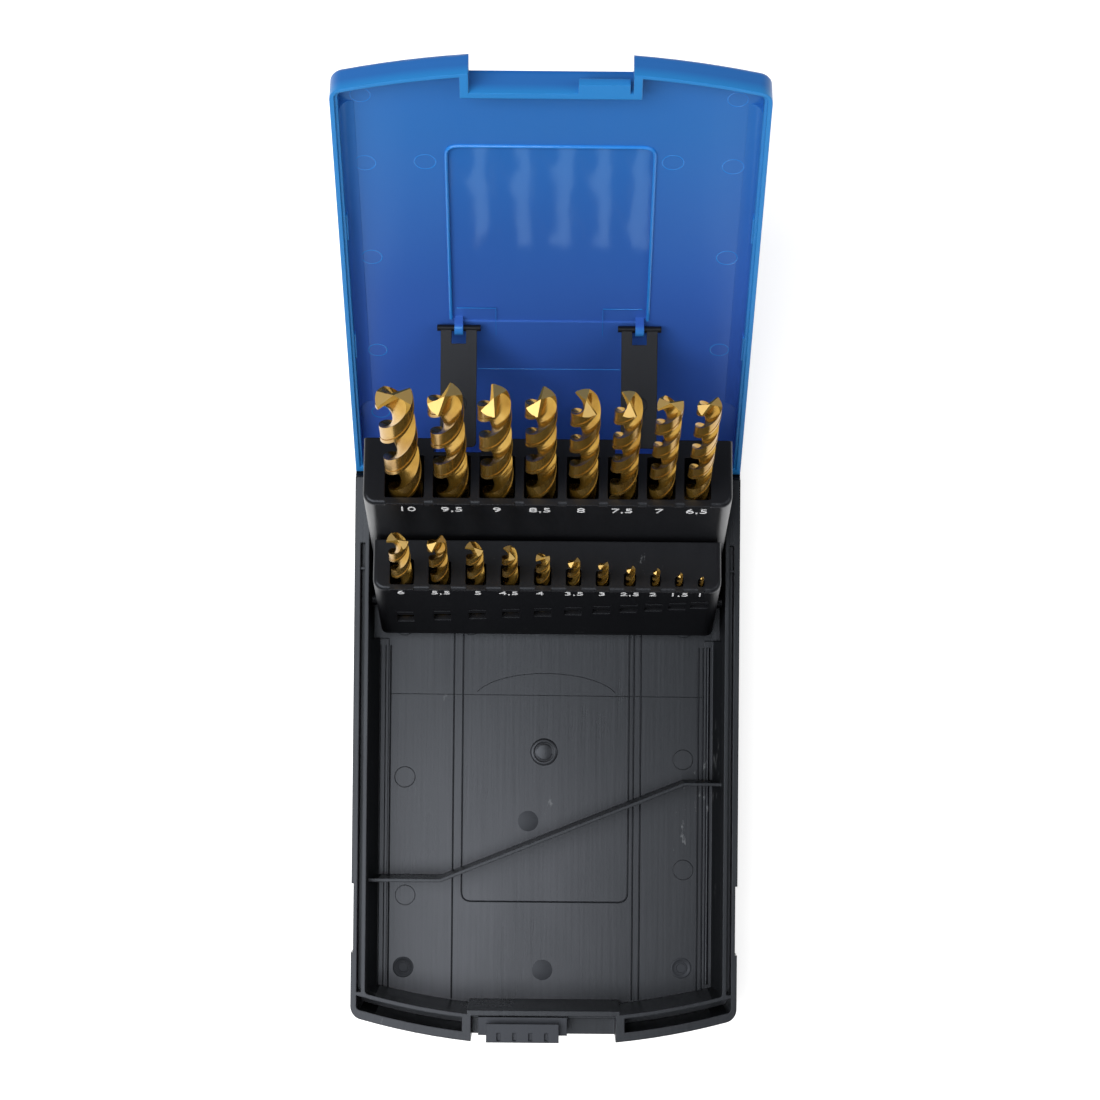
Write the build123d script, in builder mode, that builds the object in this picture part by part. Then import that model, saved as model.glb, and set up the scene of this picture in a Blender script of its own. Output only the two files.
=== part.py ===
from build123d import *
import os
from math import asin, cos, degrees, pi, radians, sin, sqrt, tan

os.makedirs("parts", exist_ok=True)

# Drill bit case, 1 to 10 mm in steps of 0.5 mm: a tray, a hinged lid, two bit holders that
# swing up with the lid, two straps, a sliding latch and nineteen bits. Millimetres.
# Every piece is drawn as it lies in the closed case, in coordinates measured from the lid
# hinge (x across, y towards the rear, z up), and its frame then swings it to the open case.

# ---- Driving dimensions ---------------------------------------------------------------

# Case shell
case_width = 112.0
case_length = 170.0
base_height = 32.0
lid_height = 8.0
front_radius = 200.0        # bow of the front, seen from above
front_corner = 4.0          # corner radius where the bow meets the sides
rear_corner = 2.0
edge_round = 1.6            # outside edges of the underside and of the lid's top
shell_wall = 2.0
floor_wall = 1.8
lid_panel = 2.0
rim_gap = 0.25              # between the closed lid and the tray
lid_angle = 123.5           # swing of the lid from closed to its stop

# Tray walls
side_skin = 1.7             # outside skin of the side walls
side_groove = 1.3           # groove in the rim, behind the ridge
side_ridge = 1.2            # thin ridge on the inner side of the rim
groove_depth = 7.0
groove_start = 22.1         # distance of the groove from the hinge
groove_bridge = 29.5        # small bridge across the groove, from the hinge
bridge_wall = 0.8
front_skin = 2.6
front_pocket = 4.0          # narrow pocket between the front skin and the partition
front_partition = 1.2
pocket_depth = 22.0
grip_depth = 0.6            # shallow finger grips in both sides
grip_start = 121.0
grip_length = 20.0
foot_slope = 1.9            # draft of the side walls, where they thicken towards the floor
foot_rise = 15.0            # height over which they thicken
foot_width = 4.6            # low step along the side walls, the draft included
foot_step = 0.35
foot_end = 50.0             # rear end of the step, from the hinge
rib_wall = 1.0              # slanting rib ahead of the small bits
rib_height = 17.0

# Latch recess, latch and catch
recess_width = 42.0
recess_reach = 8.5          # from the front of the case back to the recess wall
recess_wall = 1.6
recess_drop = 15.0          # depth of the ledge below the rim
recess_lip = 1.7            # from the front of the case back to the recess ledge
latch_width = 21.0
latch_travel = 13.5
latch_start = -16.5         # left end of the free latch
latch_plate = 3.1           # thickness of the upright plate
latch_lip = 2.3             # reach of the lip behind the plate
latch_lip_wall = 1.4
latch_rise = 4.4            # top of the latch above the rim
latch_gap = 0.35
latch_rail = 1.4            # reach of the guide rail
latch_rail_wall = 2.0
latch_rail_drop = 8.0
latch_arm = 2.4
grip_slot_width = 1.0       # four short grooves in the latch's top
grip_slot_length = 2.2
grip_slot_pitch = 4.6
grip_slot_edge = 0.5        # from the latch's front
grip_slot_deep = 0.9
catch_start = 7.0
catch_width = 13.0
catch_reach = 3.3
catch_wall = 2.2

# Lid hinge
hinge_inset = 2.5           # hinge axis ahead of the rear of the case
barrel_radius = 2.4
barrel_half = 44.6          # half length of the lid's barrel
knuckle_width = 6.3
hinge_pin_radius = 1.2
running_gap = 0.05          # radial play of every pin in its hole
part_gap = 0.4              # side play of a knuckle
scoop_gap = 0.5
cut_over = 1.0              # how far a cutting block runs past the face it cuts

# Bit holders
holder_swing = 105.0        # swing of both holders while the lid opens fully
top_gap = 0.8               # upper holder to lid
tier_gap = 0.9              # upper to lower holder
floor_gap = 0.5             # lower holder to floor
upper_thick = 19.2
upper_face = 74.0           # top face of the holder, from the hinge, when closed
upper_depth = 64.0
lower_face = 83.5
upper_side_gap = 0.9
lower_side_gap = 2.5
holder_round = 3.5          # upright front edges of both holders
exit_round = 1.2            # edges around the face that the bits stand out of
upper_pivot_back = 17.42
upper_pivot_depth = 8.94    # below the back of the upper holder
open_tier_gap = 0.8         # upper to lower holder when both stand open
lower_pivot_height = 10.54  # above the floor
sweep_gap = 0.3             # heel of the lower holder to the floor as it swings
pivot_radius = 2.0
pivot_reach = 2.4           # of a pin into the tray wall
pivot_end_gap = 0.4

# Bits: diameter, overall length, flute length, length that stands out, turn of the lips
upper_bits = [
    (10.0, 133.0, 97.0, 71.0, 28.0),
    (9.5, 125.0, 95.0, 71.0, 66.0),
    (9.0, 125.0, 95.0, 71.0, 90.0),
    (8.5, 117.0, 91.0, 71.0, 75.0),
    (8.0, 117.0, 91.0, 71.0, 126.0),
    (7.5, 109.0, 87.0, 71.0, 113.0),
    (7.0, 109.0, 87.0, 71.0, 16.0),
    (6.5, 101.0, 83.0, 71.0, 46.0),
]
lower_bits = [
    (6.0, 82.0, 54.0, 33.0, -4.0),
    (5.5, 81.0, 54.0, 32.0, 57.0),
    (5.0, 77.0, 52.0, 27.6, -13.0),
    (4.5, 74.0, 47.0, 24.8, 133.0),
    (4.0, 70.0, 43.0, 20.6, 17.0),
    (3.5, 66.0, 39.0, 17.2, 56.0),
    (3.0, 61.0, 33.0, 15.2, 46.0),
    (2.5, 57.0, 30.0, 12.4, 61.0),
    (2.0, 49.0, 24.0, 11.4, 76.0),
    (1.5, 40.0, 18.0, 8.6, 86.0),
    (1.0, 34.0, 12.0, 6.4, 56.0),
]
slot_play = 0.8             # a slot is this much wider than its bit
slot_corner = 0.6
upper_slot_height = 12.2
lower_slot_extra = 1.4      # height of a small slot above its bit's diameter
upper_sill = 2.0
lower_sill = 1.7
sill_run = 3.0              # length of the square lip ahead of each slot
upper_row_margin = 6.4      # from the holder's side to the edge of the first bit
lower_row_margin = 5.2
seat_gap = 0.3              # between a seated bit and its slot
web = 0.10                  # half thickness of a bit's web, as a share of its diameter
flute_open = 96.0           # degrees of a bit's outside that each flute takes
margin_turn = 16.0          # degrees that each ground margin takes
land_ease = 0.035           # relief of a land behind its margin, as a share of the radius
helix_angle = 30.0
point_angle = 130.0
facet_turn = 50.0           # degrees that each ground facet takes, behind its lip
facet_relief = 12.0         # fall of the facet behind its lip
heel_relief = 42.0          # fall of the ground heel behind the facet

# Windows in the back of the upper holder, in a wide shallow relief
relief_start = 30.0         # below the top face
relief_half = 46.0          # half length across the holder
back_skin = 1.4             # of the back over a slot, inside the relief
back_window_start = 34.0    # below the top face
back_window_ledge = 1.2     # left on each side of a slot
back_window_foot = 1.0      # left above the end of a slot
back_window_least = 8.0     # a shorter window is left out

# Sight windows in the front of the lower holder
window_width = 5.0
window_first = 30.6         # middle below the top face, at the 6 mm bit
window_last = 15.5          # and at the 1 mm bit
window_tall = 7.4           # height at the 6 mm bit
window_low = 3.6            # and at the 1 mm bit
slit_height = 1.0           # of the slit above each window
slit_above = 2.6            # between window and slit
slit_deep = 0.8

# Rib ahead of the small bits, measured from the lower holder's top face when closed
rib_left_reach = 37.5
rib_right_reach = 8.6
rib_left_level = 30.7       # x where the slanting run starts, on the left
rib_right_level = 41.0

# Straps between lid and upper holder
strap_place = 25.0
strap_width = 10.0
strap_thick = 1.4
strap_reach = 33.0
strap_bar_length = 12.0
strap_bar_radius = 0.9
strap_back = 60.2           # bar from the hinge
strap_rise = 3.9            # bar above the rim
strap_swing = 51.87         # strap against lid while the lid opens fully
strap_slot_width = 4.0
strap_slot_length = 3.4
hook_width = 2.4
hook_wall = 1.05
channel_play = 1.0          # strap channel in the upper holder, against the strap's bar
channel_depth = 4.0
channel_length = 49.0

# Lid inside
panel_inset_width = 54.5    # shallow recess in the panel
panel_inset_start = 60.5
panel_inset_length = 72.5
panel_inset_depth = 0.5
panel_inset_corner = 4.0
rim_step = 0.8              # small step inside the lid's rim
snap_rib_length = 10.0
snap_rib_wall = 0.5
snap_rib_places = (54.5, 105.0)

# ---- Sizes that follow ----------------------------------------------------------------

half_width = case_width / 2
front = -(case_length - hinge_inset)
recess_back = -front - recess_reach
recess_front = -front - recess_lip
floor_top = floor_wall - base_height
lid_inside = lid_height - lid_panel
inner_half = half_width - side_skin - side_groove - side_ridge
partition_back = front + front_skin + front_pocket + front_partition
recess_half = recess_width / 2
rear_inside = hinge_inset - shell_wall

upper_top = lid_inside - top_gap
upper_bottom = upper_top - upper_thick
relief_depth = upper_thick - upper_sill - upper_slot_height - back_skin
lower_top = upper_bottom - tier_gap
lower_bottom = floor_top + floor_gap
upper_half = inner_half - upper_side_gap
lower_half = inner_half - lower_side_gap
upper_pivot = (-upper_pivot_back, upper_top - upper_pivot_depth)
lower_pivot_level = floor_top + lower_pivot_height
pivot_drop = upper_pivot[1] - lower_pivot_level
# The lower pivot stands this far ahead, so that the tiers keep their gap through the swing
pivot_lead = pivot_drop * tan(radians(holder_swing / 2))
pivot_lead += (open_tier_gap - tier_gap) / sin(radians(holder_swing))
lower_pivot = (upper_pivot[0] - pivot_lead, lower_pivot_level)
heel_radius = lower_pivot_height - sweep_gap

knuckle_start = barrel_half + part_gap
knuckle_end = knuckle_start + knuckle_width

# ---- Frames and outlines --------------------------------------------------------------


def swung(frame, y, z, angle):
    """The frame turned open by an angle about the x line through (y, z) of that frame."""
    return Plane(frame.location * Pos(0, y, z) * Rot(X=-angle) * Pos(0, -y, -z))


def side_plane(frame, x):
    """Plane across the frame at x: its own x runs along the frame's y, its y along z."""
    origin = frame.from_local_coords((x, 0, 0))
    return Plane(origin, x_dir=frame.y_dir, z_dir=frame.x_dir)


def back_plane(frame, y):
    """Plane facing the front at y: its own x runs along the frame's x, its y along z."""
    origin = frame.from_local_coords((0, y, 0))
    return Plane(origin, x_dir=frame.x_dir, z_dir=-frame.y_dir)


def block(frame, x_range, y_range, z_range):
    """A plain block between two corners given in the frame's coordinates."""
    size = [high - low for low, high in (x_range, y_range, z_range)]
    middle = [(low + high) / 2 for low, high in (x_range, y_range, z_range)]
    with BuildPart(frame) as made:
        with Locations(tuple(middle)):
            Box(*size)
    return made.part


def rod(frame, radius, x_range, y, z):
    """A round rod along x between two x values of the frame."""
    with BuildPart() as made:
        with BuildSketch(side_plane(frame, x_range[0])):
            with Locations((y, z)):
                Circle(radius)
        extrude(amount=x_range[1] - x_range[0])
    return made.part


def bowed_outline(plane, half, rear, apex, front_round, rear_round):
    """Outline with straight sides, a flat rear and a bowed front, corners rounded."""
    shoulder = apex + front_radius - sqrt(front_radius**2 - half**2)
    with BuildSketch(plane) as outline:
        with BuildLine():
            Polyline((-half, shoulder), (-half, rear), (half, rear), (half, shoulder))
            ThreePointArc((half, shoulder), (0, apex), (-half, shoulder))
        make_face()
        corners = outline.vertices().sort_by(Axis.Y)
        fillet(corners[:2], front_round)
        if rear_round:
            fillet(corners[2:], rear_round)
    return outline.sketch


tray_frame = Plane((0, case_length / 2 - hinge_inset, base_height))
lid_frame = swung(tray_frame, 0, 0, lid_angle)
upper_frame = swung(tray_frame, *upper_pivot, holder_swing)
lower_frame = swung(tray_frame, *lower_pivot, holder_swing)
strap_frame = swung(lid_frame, -strap_back, strap_rise, strap_swing)


def finish(piece, name):
    """Label the finished piece and write its STEP file."""
    piece.part.label = name
    export_step(piece.part, f"parts/{name}.step")


# ---- Base tray ------------------------------------------------------------------------


def shell_outline(plane, half, apex, corner=front_partition):
    """Outline inside the shell, square at the rear."""
    return bowed_outline(plane, half, rear_inside, apex, corner, 0)


def tray_blank(rim):
    """The tray's outside with its underside edges rounded."""
    underside = rim.offset(-base_height)
    with BuildPart() as blank:
        extrude(
            bowed_outline(underside, half_width, hinge_inset, front, front_corner, rear_corner),
            amount=base_height,
        )
        fillet(blank.edges().group_by(Axis.Z)[0], edge_round)
    return blank.part


def tray_space(rim):
    """The inner space, with the wall of the latch recess standing into its front."""
    wall_end = recess_half + front_partition
    wall_face = -(recess_back - recess_wall)
    with BuildPart() as space:
        extrude(shell_outline(rim.offset(floor_top), inner_half, partition_back), amount=-floor_top)
        add(
            block(rim, (-wall_end, wall_end), (2 * front, wall_face), (2 * floor_top, cut_over)),
            mode=Mode.SUBTRACT,
        )
    return space.part


def front_pockets(rim):
    """Two narrow pockets between the front skin and the partition."""
    middle = recess_half + front_skin
    partition_front = partition_back - front_partition
    with BuildPart() as pockets:
        extrude(shell_outline(rim, half_width - side_skin, front + front_skin), amount=-pocket_depth)
        extrude(
            shell_outline(rim, case_width, partition_front, rear_corner),
            amount=-pocket_depth,
            mode=Mode.SUBTRACT,
        )
        add(
            block(rim, (-middle, middle), (2 * front, hinge_inset), (-2 * pocket_depth, cut_over)),
            mode=Mode.SUBTRACT,
        )
    return pockets.part


def rim_grooves(rim):
    """The groove in both side rims, between the outer skin and the inner ridge."""
    groove_end = recess_back - front_skin - front_pocket
    across = half_width - side_skin - side_groove / 2
    with BuildSketch(rim) as grooves:
        for side in (-1, 1):
            with Locations((side * across, -(groove_start + groove_end) / 2)):
                Rectangle(side_groove, groove_end - groove_start)
    return extrude(grooves.sketch, amount=-groove_depth, mode=Mode.PRIVATE)


def finger_grips(rim):
    """Shallow hollows in the outside of both side walls."""
    with BuildSketch(rim) as grips:
        for side in (-1, 1):
            with Locations((side * (half_width + grip_depth), -(grip_start + grip_length / 2))):
                Rectangle(4 * grip_depth, grip_length)
    return extrude(grips.sketch, amount=-base_height, mode=Mode.PRIVATE)


def hinge_knuckles(rim):
    """Two knuckles on the rear wall that carry the lid's pins, each with its gusset."""
    gusset_foot = -5 * barrel_radius
    pieces = []
    for side in (-1, 1):
        span = sorted((side * knuckle_start, side * knuckle_end))
        with BuildPart() as knuckle:
            add(rod(rim, barrel_radius, span, 0, 0))
            add(block(rim, span, (-barrel_radius, rear_inside + part_gap), (gusset_foot, 0)))
            add(rod(rim, hinge_pin_radius + running_gap, span, 0, 0), mode=Mode.SUBTRACT)
        pieces.append(knuckle.part)
    return pieces


def bit_rib(rim):
    """Thin rib across the floor that slants along the tips of the small bits."""
    left = -(lower_face + rib_left_reach)
    right = -(lower_face + rib_right_reach)
    side = inner_half + front_partition / 2
    with BuildSketch(rim.offset(floor_top)) as rib:
        with BuildLine():
            Polyline((-side, left), (-rib_left_level, left), (rib_right_level, right), (side, right))
        trace(line_width=rib_wall)
    return extrude(rib.sketch, amount=rib_height, mode=Mode.PRIVATE)


def foot_steps(rim):
    """Low step along both side walls, and the draft of the walls above it."""
    end = recess_back - front_pocket - front_partition
    step_top = floor_top + foot_step
    pieces = []
    for side in (-1, 1):
        wall = side * (inner_half + front_partition / 2)
        with BuildSketch(back_plane(rim, -foot_end)) as step:
            with BuildLine():
                Polyline(
                    (wall, floor_top - floor_wall / 2),
                    (side * (inner_half - foot_width), floor_top - floor_wall / 2),
                    (side * (inner_half - foot_width), step_top),
                    (side * (inner_half - foot_slope), step_top),
                    (side * inner_half, step_top + foot_rise),
                    (wall, step_top + foot_rise),
                    close=True,
                )
            make_face()
        pieces.append(extrude(step.sketch, amount=end - foot_end, mode=Mode.PRIVATE))
    return pieces


def groove_bridges(rim):
    """Small bridges across the side grooves, just under the rim."""
    outer = half_width - side_skin + part_gap
    inner = half_width - side_skin - side_groove - part_gap
    along = (-groove_bridge - bridge_wall / 2, -groove_bridge + bridge_wall / 2)
    return [
        block(rim, sorted((side * inner, side * outer)), along, (-2 * bridge_wall, -part_gap))
        for side in (-1, 1)
    ]


def pivot_sockets(rim, half, pivot):
    """Blind sockets in both side walls for a holder's pins."""
    depth = inner_half + pivot_reach + pivot_end_gap
    return [
        rod(rim, pivot_radius + running_gap, sorted((side * half, side * depth)), *pivot)
        for side in (-1, 1)
    ]


def latch_guide(rim):
    """Rail on the wall of the recess that the latch slides along."""
    middle = -latch_rail_drop
    return block(
        rim,
        (-recess_half - part_gap, recess_half + part_gap),
        (-recess_back - latch_rail, -recess_back + part_gap),
        (middle - latch_rail_wall / 2, middle + latch_rail_wall / 2),
    )


def lid_clearance(rim):
    """What the rear end of the lid sweeps through as it opens."""
    swept = lid_frame
    reach = lid_height + barrel_radius
    return [
        rod(rim, barrel_radius + scoop_gap, (-case_width, case_width), 0, 0),
        block(swept, (-case_width, case_width), (-reach, hinge_inset + rim_gap), (0, 2 * reach)),
    ]


rim = tray_frame
recess = (-recess_half, recess_half)
with BuildPart() as base_tray:
    add(tray_blank(rim))
    add(tray_space(rim), mode=Mode.SUBTRACT)
    add(front_pockets(rim), mode=Mode.SUBTRACT)
    add(rim_grooves(rim), mode=Mode.SUBTRACT)
    add(finger_grips(rim), mode=Mode.SUBTRACT)
    add(block(rim, recess, (2 * front, -recess_back), (-recess_drop, cut_over)), mode=Mode.SUBTRACT)
    add(block(rim, recess, (2 * front, -recess_front), (-2 * base_height, cut_over)), mode=Mode.SUBTRACT)
    add(latch_guide(rim))
    for sweep_space in lid_clearance(rim):
        add(sweep_space, mode=Mode.SUBTRACT)
    add(bit_rib(rim))
    add(foot_steps(rim))
    add(groove_bridges(rim))
    add(hinge_knuckles(rim))
    add(pivot_sockets(rim, upper_half, upper_pivot), mode=Mode.SUBTRACT)
    add(pivot_sockets(rim, lower_half, lower_pivot), mode=Mode.SUBTRACT)
finish(base_tray, "base_tray")

# ---- Lid ------------------------------------------------------------------------------


def lid_space(plane, inset, depth):
    """Inner space of the lid from its rim, with the wall of the notch standing into it."""
    notch_wall = recess_half + shell_wall
    wall_face = -recess_back - part_gap + shell_wall
    with BuildPart() as space:
        outline = shell_outline(plane, half_width - inset, front + inset, shell_wall)
        extrude(outline, amount=depth)
        add(
            block(plane, (-notch_wall, notch_wall), (2 * front, wall_face), (-cut_over, 2 * depth)),
            mode=Mode.SUBTRACT,
        )
    return space.part


def lid_shell(top):
    """The lid's shell: outside, notch, inner space, rim step and the recess in its panel."""
    rim_plane = top.offset(rim_gap)
    notch = recess_half - part_gap / 2
    with BuildPart() as shell:
        extrude(
            bowed_outline(rim_plane, half_width, hinge_inset, front, front_corner, rear_corner),
            amount=lid_height - rim_gap,
        )
        outer_face = shell.faces().sort_by(Axis(top.origin, top.z_dir))[-1]
        fillet(outer_face.edges(), edge_round)
        add(
            block(
                top,
                (-notch, notch),
                (2 * front, -recess_back - part_gap),
                (-cut_over, 2 * lid_height),
            ),
            mode=Mode.SUBTRACT,
        )
        add(lid_space(rim_plane, shell_wall, lid_inside - rim_gap), mode=Mode.SUBTRACT)
        add(lid_space(rim_plane, shell_wall - rim_step, rim_step), mode=Mode.SUBTRACT)
        with BuildSketch(top.offset(lid_inside)):
            with Locations((0, -(panel_inset_start + panel_inset_length / 2))):
                RectangleRounded(panel_inset_width, panel_inset_length, panel_inset_corner)
        extrude(amount=panel_inset_depth, mode=Mode.SUBTRACT)
    return shell.part


def strap_hook(top, x):
    """Hook on the panel that holds a strap's bar: a stem and a curl under the bar."""
    bore = strap_bar_radius + running_gap
    outer = bore + hook_wall
    with BuildSketch(side_plane(top, x - hook_width / 2)) as profile:
        with Locations((-strap_back, strap_rise)):
            Circle(outer)
            Circle(bore, mode=Mode.SUBTRACT)
        with Locations((-strap_back + outer / 2, strap_rise + outer / 2)):
            Rectangle(outer, outer, mode=Mode.SUBTRACT)
        with Locations((-strap_back, strap_rise + outer)):
            Rectangle(2 * bore, 2 * outer, mode=Mode.SUBTRACT)
        stem_top = lid_inside + lid_panel / 2
        with Locations((-strap_back - (bore + outer) / 2, (strap_rise + stem_top) / 2)):
            Rectangle(outer - bore, stem_top - strap_rise)
    return extrude(profile.sketch, amount=hook_width, mode=Mode.PRIVATE)


def snap_ribs(top):
    """Low ribs inside both side walls."""
    pieces = []
    for side in (-1, 1):
        wall = half_width - shell_wall
        across = sorted((side * (wall - snap_rib_wall), side * (wall + snap_rib_wall)))
        for place in snap_rib_places:
            along = (-place - snap_rib_length / 2, -place + snap_rib_length / 2)
            pieces.append(block(top, across, along, (2 * rim_step, lid_inside - rim_step)))
    return pieces


with BuildPart() as lid:
    add(lid_shell(lid_frame))
    # Catch for the latch, on the wall of the notch
    catch_root = -recess_back - part_gap
    add(
        block(
            lid_frame,
            (catch_start, catch_start + catch_width),
            (catch_root - catch_reach, catch_root + shell_wall / 2),
            (rim_gap, rim_gap + catch_wall),
        )
    )
    for side in (-1, 1):
        add(strap_hook(lid_frame, side * strap_place))
    add(snap_ribs(lid_frame))
    # Hinge barrel with room for the tray's knuckles, and the pins that enter them
    add(rod(lid_frame, barrel_radius, (-barrel_half, barrel_half), 0, 0))
    for side in (-1, 1):
        room = sorted((side * barrel_half, side * (knuckle_end + part_gap)))
        reach = barrel_radius + scoop_gap
        add(block(lid_frame, room, (-reach, 2 * reach), (-reach, reach)), mode=Mode.SUBTRACT)
        pin = sorted((side * (barrel_half - barrel_radius), side * (knuckle_end - part_gap)))
        add(rod(lid_frame, hinge_pin_radius, pin, 0, 0))
finish(lid, "lid")

# ---- Bit holders ----------------------------------------------------------------------


def slot_centres(bits, half, margin):
    """Bit places across a holder: equal lands between bits of falling size."""
    diameters = [bit[0] for bit in bits]
    land = (2 * (half - margin) - sum(diameters)) / (len(bits) - 1)
    edge = margin - half
    centres = []
    for diameter in diameters:
        centres.append(edge + diameter / 2)
        edge += diameter + land
    return centres


upper_places = slot_centres(upper_bits, upper_half, upper_row_margin)
lower_places = slot_centres(lower_bits, lower_half, lower_row_margin)


def bit_slot(frame, bit, x, face, slot_floor, height):
    """Slot for one bit: from the top face of the holder to the end of its shank."""
    diameter, length, _, exposed, _ = bit
    deep = length - exposed + seat_gap
    with BuildSketch(back_plane(frame, -face - cut_over)) as mouth:
        with Locations((x, slot_floor + height / 2)):
            RectangleRounded(diameter + slot_play, height, slot_corner)
    return extrude(mouth.sketch, amount=-deep - cut_over, mode=Mode.PRIVATE)


def bit_sill(frame, bit, x, face, bottom, slot_floor):
    """Square lip that the rounded front edge leaves ahead of a slot."""
    half = (bit[0] + slot_play) / 2
    return block(frame, (x - half, x + half), (-face, -face + sill_run), (bottom, slot_floor))


def exit_edges(holder, frame):
    """Edges around the face that the bits stand out of, except its rear edge."""
    exit_face = holder.faces().sort_by(Axis(frame.origin, frame.y_dir))[0]
    grouped = exit_face.edges().group_by(Axis(frame.origin, frame.z_dir))
    return [edge for group in grouped[:-1] for edge in group]


def back_window(frame, bit, x, face, top):
    """Window from a slot through the thin back of the holder; None where it would be short."""
    diameter, length, _, exposed, _ = bit
    half = (diameter + slot_play) / 2 - back_window_ledge
    end = length - exposed - back_window_foot
    if end - back_window_start < back_window_least:
        return None
    along = (-face + back_window_start, -face + end)
    reach = (top - relief_depth - back_skin - seat_gap, top)
    return block(frame, (x - half, x + half), along, reach)


def holder_pins(frame, half, pivot):
    """Pivot pins on both sides of a holder."""
    reach = inner_half + pivot_reach
    return [
        rod(frame, pivot_radius, sorted((side * (half - pivot_radius), side * reach)), *pivot)
        for side in (-1, 1)
    ]


with BuildPart() as upper_bit_holder:
    with BuildSketch(back_plane(upper_frame, -upper_face)) as outline:
        with Locations((0, (upper_top + upper_bottom) / 2)):
            Rectangle(2 * upper_half, upper_thick)
        fillet(outline.vertices().sort_by(Axis.Y)[:2], holder_round)
    extrude(amount=-upper_depth)
    fillet(exit_edges(upper_bit_holder, upper_frame), exit_round)
    for bit, x in zip(upper_bits, upper_places):
        slot_floor = upper_bottom + upper_sill
        add(bit_sill(upper_frame, bit, x, upper_face, upper_bottom, slot_floor))
        add(
            bit_slot(upper_frame, bit, x, upper_face, slot_floor, upper_slot_height),
            mode=Mode.SUBTRACT,
        )
    for side in (-1, 1):
        channel_half = (strap_bar_length + channel_play) / 2
        middle = side * strap_place
        add(
            block(
                upper_frame,
                (middle - channel_half, middle + channel_half),
                (-upper_face - cut_over, -upper_face + channel_length),
                (upper_top - channel_depth, upper_top + cut_over),
            ),
            mode=Mode.SUBTRACT,
        )
    add(
        block(
            upper_frame,
            (-relief_half, relief_half),
            (-upper_face + relief_start, -upper_face + upper_depth - sill_run),
            (upper_top - relief_depth, upper_top + cut_over),
        ),
        mode=Mode.SUBTRACT,
    )
    for bit, x in zip(upper_bits, upper_places):
        window = back_window(upper_frame, bit, x, upper_face, upper_top)
        if window:
            add(window, mode=Mode.SUBTRACT)
    add(holder_pins(upper_frame, upper_half, upper_pivot))
finish(upper_bit_holder, "upper_bit_holder")


def lower_section(frame):
    """Side outline of the lower holder, with a heel rounded about the pivot."""
    pivot_y, pivot_z = lower_pivot
    rise = lower_top - pivot_z
    drop = pivot_z - lower_bottom
    top_end = (pivot_y + sqrt(heel_radius**2 - rise**2), lower_top)
    low_end = (pivot_y + sqrt(heel_radius**2 - drop**2), lower_bottom)
    with BuildSketch(side_plane(frame, -lower_half)) as section:
        with BuildLine():
            Polyline(low_end, (-lower_face, lower_bottom), (-lower_face, lower_top), top_end)
            ThreePointArc(top_end, (pivot_y + heel_radius, pivot_z), low_end)
        make_face()
    return section.sketch


with BuildPart() as lower_bit_holder:
    extrude(lower_section(lower_frame), amount=2 * lower_half)
    front_edges = (
        lower_bit_holder.edges()
        .filter_by(Axis(lower_frame.origin, lower_frame.y_dir))
        .group_by(Axis(lower_frame.origin, lower_frame.z_dir))[0]
    )
    fillet(front_edges, holder_round)
    fillet(exit_edges(lower_bit_holder, lower_frame), exit_round)
    for index, (bit, x) in enumerate(zip(lower_bits, lower_places)):
        slot_floor = lower_bottom + lower_sill
        height = bit[0] + lower_slot_extra
        add(bit_sill(lower_frame, bit, x, lower_face, lower_bottom, slot_floor))
        add(
            bit_slot(lower_frame, bit, x, lower_face, slot_floor, height),
            mode=Mode.SUBTRACT,
        )
        share = index / (len(lower_bits) - 1)
        middle = window_first + share * (window_last - window_first) - lower_face
        reach = (window_tall + share * (window_low - window_tall)) / 2
        slit = middle - reach - slit_above
        wide = (x - window_width / 2, x + window_width / 2)
        window = block(
            lower_frame,
            wide,
            (middle - reach, middle + reach),
            (lower_bottom - cut_over, slot_floor + seat_gap),
        )
        add(window, mode=Mode.SUBTRACT)
        mark = block(
            lower_frame,
            wide,
            (slit - slit_height, slit),
            (lower_bottom - cut_over, lower_bottom + slit_deep),
        )
        add(mark, mode=Mode.SUBTRACT)
    add(holder_pins(lower_frame, lower_half, lower_pivot))
finish(lower_bit_holder, "lower_bit_holder")

# ---- Straps ---------------------------------------------------------------------------


def make_strap(name, x):
    """A strap: a round bar in the lid's hook and a flat tongue with a slot for the hook."""
    bar = (x - strap_bar_length / 2, x + strap_bar_length / 2)
    flat = (strap_rise - strap_thick / 2, strap_rise + strap_thick / 2)
    slot_start = -strap_back + strap_bar_radius
    with BuildPart() as strap:
        add(
            block(
                strap_frame,
                (x - strap_width / 2, x + strap_width / 2),
                (-strap_back, -strap_back + strap_reach),
                flat,
            )
        )
        tip_edges = (
            strap.edges()
            .filter_by(Axis(strap_frame.origin, strap_frame.z_dir))
            .group_by(Axis(strap_frame.origin, strap_frame.y_dir))[-1]
        )
        fillet(tip_edges, strap_thick)
        add(
            block(
                strap_frame,
                (x - strap_slot_width / 2, x + strap_slot_width / 2),
                (-strap_back - cut_over, slot_start + strap_slot_length),
                (flat[0] - cut_over, flat[1] + cut_over),
            ),
            mode=Mode.SUBTRACT,
        )
        add(rod(strap_frame, strap_bar_radius, bar, -strap_back, strap_rise))
    finish(strap, name)


make_strap("strap_left", -strap_place)
make_strap("strap_right", strap_place)

# ---- Latch ----------------------------------------------------------------------------

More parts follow.
